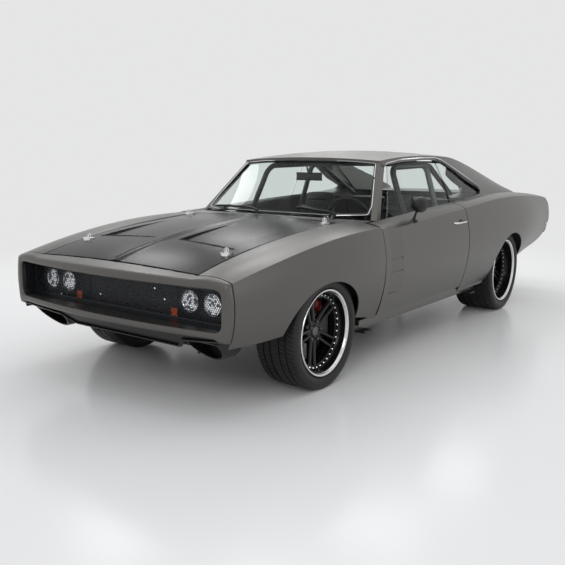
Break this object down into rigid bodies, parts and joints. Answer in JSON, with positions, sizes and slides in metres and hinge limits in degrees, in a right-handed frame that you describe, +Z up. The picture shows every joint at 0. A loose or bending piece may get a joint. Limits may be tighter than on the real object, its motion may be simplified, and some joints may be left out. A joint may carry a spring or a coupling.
{
  "type": "muscle car",
  "caption": "Long-nosed two-door muscle car with loop front bumper, recessed mesh grille, dark hood, buttressed roof and wide wheels; opening doors, hood and trunk.",
  "frame": {"origin": "on the floor below the middle of the car's bounding box", "axes": "+Z up, the nose points to -Y, +X is the car's left side"},
  "size_m": [1.9504, 5.283, 1.4012],
  "materials": {
    "body_paint": "satin",
    "dark_carbon": "gloss",
    "black_trim": "matte",
    "grille_black": "satin",
    "lamp_glass": "clear",
    "tail_lens": "gloss",
    "clear_glass": "clear",
    "tyre_rubber": "matte",
    "rim_black": "gloss",
    "disc_steel": "satin",
    "chassis_black": "satin",
    "engine_iron": "matte",
    "bare_steel": "satin",
    "cage_paint": "satin",
    "seat_leather": "matte",
    "chrome_trim": "polished"
  },
  "bodies": {
    "chassis": {"front_fenders": "body_paint", "quarter_panels": "body_paint", "roof_panel": "body_paint", "roof_pillars": "body_paint", "cowl_panel": "body_paint", "deck_panel": "body_paint", "nose_surround": "body_paint", "grille_duct": "grille_black", "grille_mesh": "grille_black", "front_lamps": "lamp_glass", "front_valance": "black_trim", "tail_panel": "body_paint", "tail_lamps": "tail_lens", "rear_bumper": "black_trim", "floor_pan": "chassis_black", "sills": "body_paint", "firewall": "chassis_black", "front_frame": "chassis_black", "engine_block": "engine_iron", "driveline": "engine_iron", "trunk_floor": "chassis_black", "rear_bulkhead": "chassis_black", "rear_wheelhouses": "chassis_black", "inner_fenders": "chassis_black", "exhaust_and_tank": "bare_steel", "front_arms": "chassis_black", "rear_axle": "chassis_black", "front_seats": "seat_leather", "dashboard": "black_trim", "roll_cage": "cage_paint", "fixed_glass": "clear_glass", "lift_points": "chassis_black", "lid_hinges": "bare_steel", "door_hinges": "bare_steel"},
    "door_left": {"door_left": "body_paint", "door_glass_left": "clear_glass", "door_trim_left": "black_trim"},
    "door_right": {"door_right": "body_paint", "door_glass_right": "clear_glass", "door_trim_right": "black_trim"},
    "hood": {"hood": "dark_carbon", "hood_pins": "chrome_trim"},
    "trunk_lid": {"trunk_lid": "body_paint"},
    "knuckle_left": {"knuckle_left": "engine_iron"},
    "knuckle_right": {"knuckle_right": "engine_iron"},
    "steering_wheel": {"steering_wheel": "black_trim"},
    "wheel_front_left": {"tyre_front_left": "tyre_rubber", "rim_front_left": "rim_black", "disc_front_left": "disc_steel"},
    "wheel_front_right": {"tyre_front_right": "tyre_rubber", "rim_front_right": "rim_black", "disc_front_right": "disc_steel"},
    "wheel_rear_left": {"tyre_rear_left": "tyre_rubber", "rim_rear_left": "rim_black", "disc_rear_left": "disc_steel"},
    "wheel_rear_right": {"tyre_rear_right": "tyre_rubber", "rim_rear_right": "rim_black", "disc_rear_right": "disc_steel"}
  },
  "joints": [
    {"name": "door_left_hinge", "type": "hinge", "parent": "chassis", "child": "door_left", "pos_m": [0.91, -1.033, 0.63], "axis": [0, 0, -1], "range_deg": [0, 65]},
    {"name": "door_right_hinge", "type": "hinge", "parent": "chassis", "child": "door_right", "pos_m": [-0.91, -1.033, 0.63], "axis": [0, 0, 1], "range_deg": [0, 65]},
    {"name": "hood_hinge", "type": "hinge", "parent": "chassis", "child": "hood", "pos_m": [0, -1.2525, 0.896], "axis": [-1, 0, 0], "range_deg": [0, 50]},
    {"name": "trunk_hinge", "type": "hinge", "parent": "chassis", "child": "trunk_lid", "pos_m": [0, 1.6695, 0.994], "axis": [1, 0, 0], "range_deg": [0, 65]},
    {"name": "steer_left", "type": "hinge", "parent": "chassis", "child": "knuckle_left", "pos_m": [0.687, -1.7045, 0.335], "axis": [0, 0, 1], "range_deg": [-28, 28]},
    {"name": "steer_right", "type": "hinge", "parent": "chassis", "child": "knuckle_right", "pos_m": [-0.687, -1.7045, 0.335], "axis": [0, 0, 1], "range_deg": [-28, 28]},
    {"name": "front_left_spin", "type": "hinge", "parent": "knuckle_left", "child": "wheel_front_left", "pos_m": [0.757, -1.7045, 0.335], "axis": [1, 0, 0], "continuous": true},
    {"name": "front_right_spin", "type": "hinge", "parent": "knuckle_right", "child": "wheel_front_right", "pos_m": [-0.757, -1.7045, 0.335], "axis": [1, 0, 0], "continuous": true},
    {"name": "rear_left_spin", "type": "hinge", "parent": "chassis", "child": "wheel_rear_left", "pos_m": [0.74, 1.2675, 0.358], "axis": [1, 0, 0], "continuous": true},
    {"name": "rear_right_spin", "type": "hinge", "parent": "chassis", "child": "wheel_rear_right", "pos_m": [-0.74, 1.2675, 0.358], "axis": [1, 0, 0], "continuous": true},
    {"name": "steering_wheel_turn", "type": "hinge", "parent": "chassis", "child": "steering_wheel", "pos_m": [0.375, -0.5845, 0.885], "axis": [0, 0.9272, 0.3746], "range_deg": [-420, 420]}
  ],
  "couplings": [
    {"joint": "steer_right", "follows": "steer_left", "ratio": 1},
    {"joint": "steering_wheel_turn", "follows": "steer_left", "ratio": 15}
  ]
}
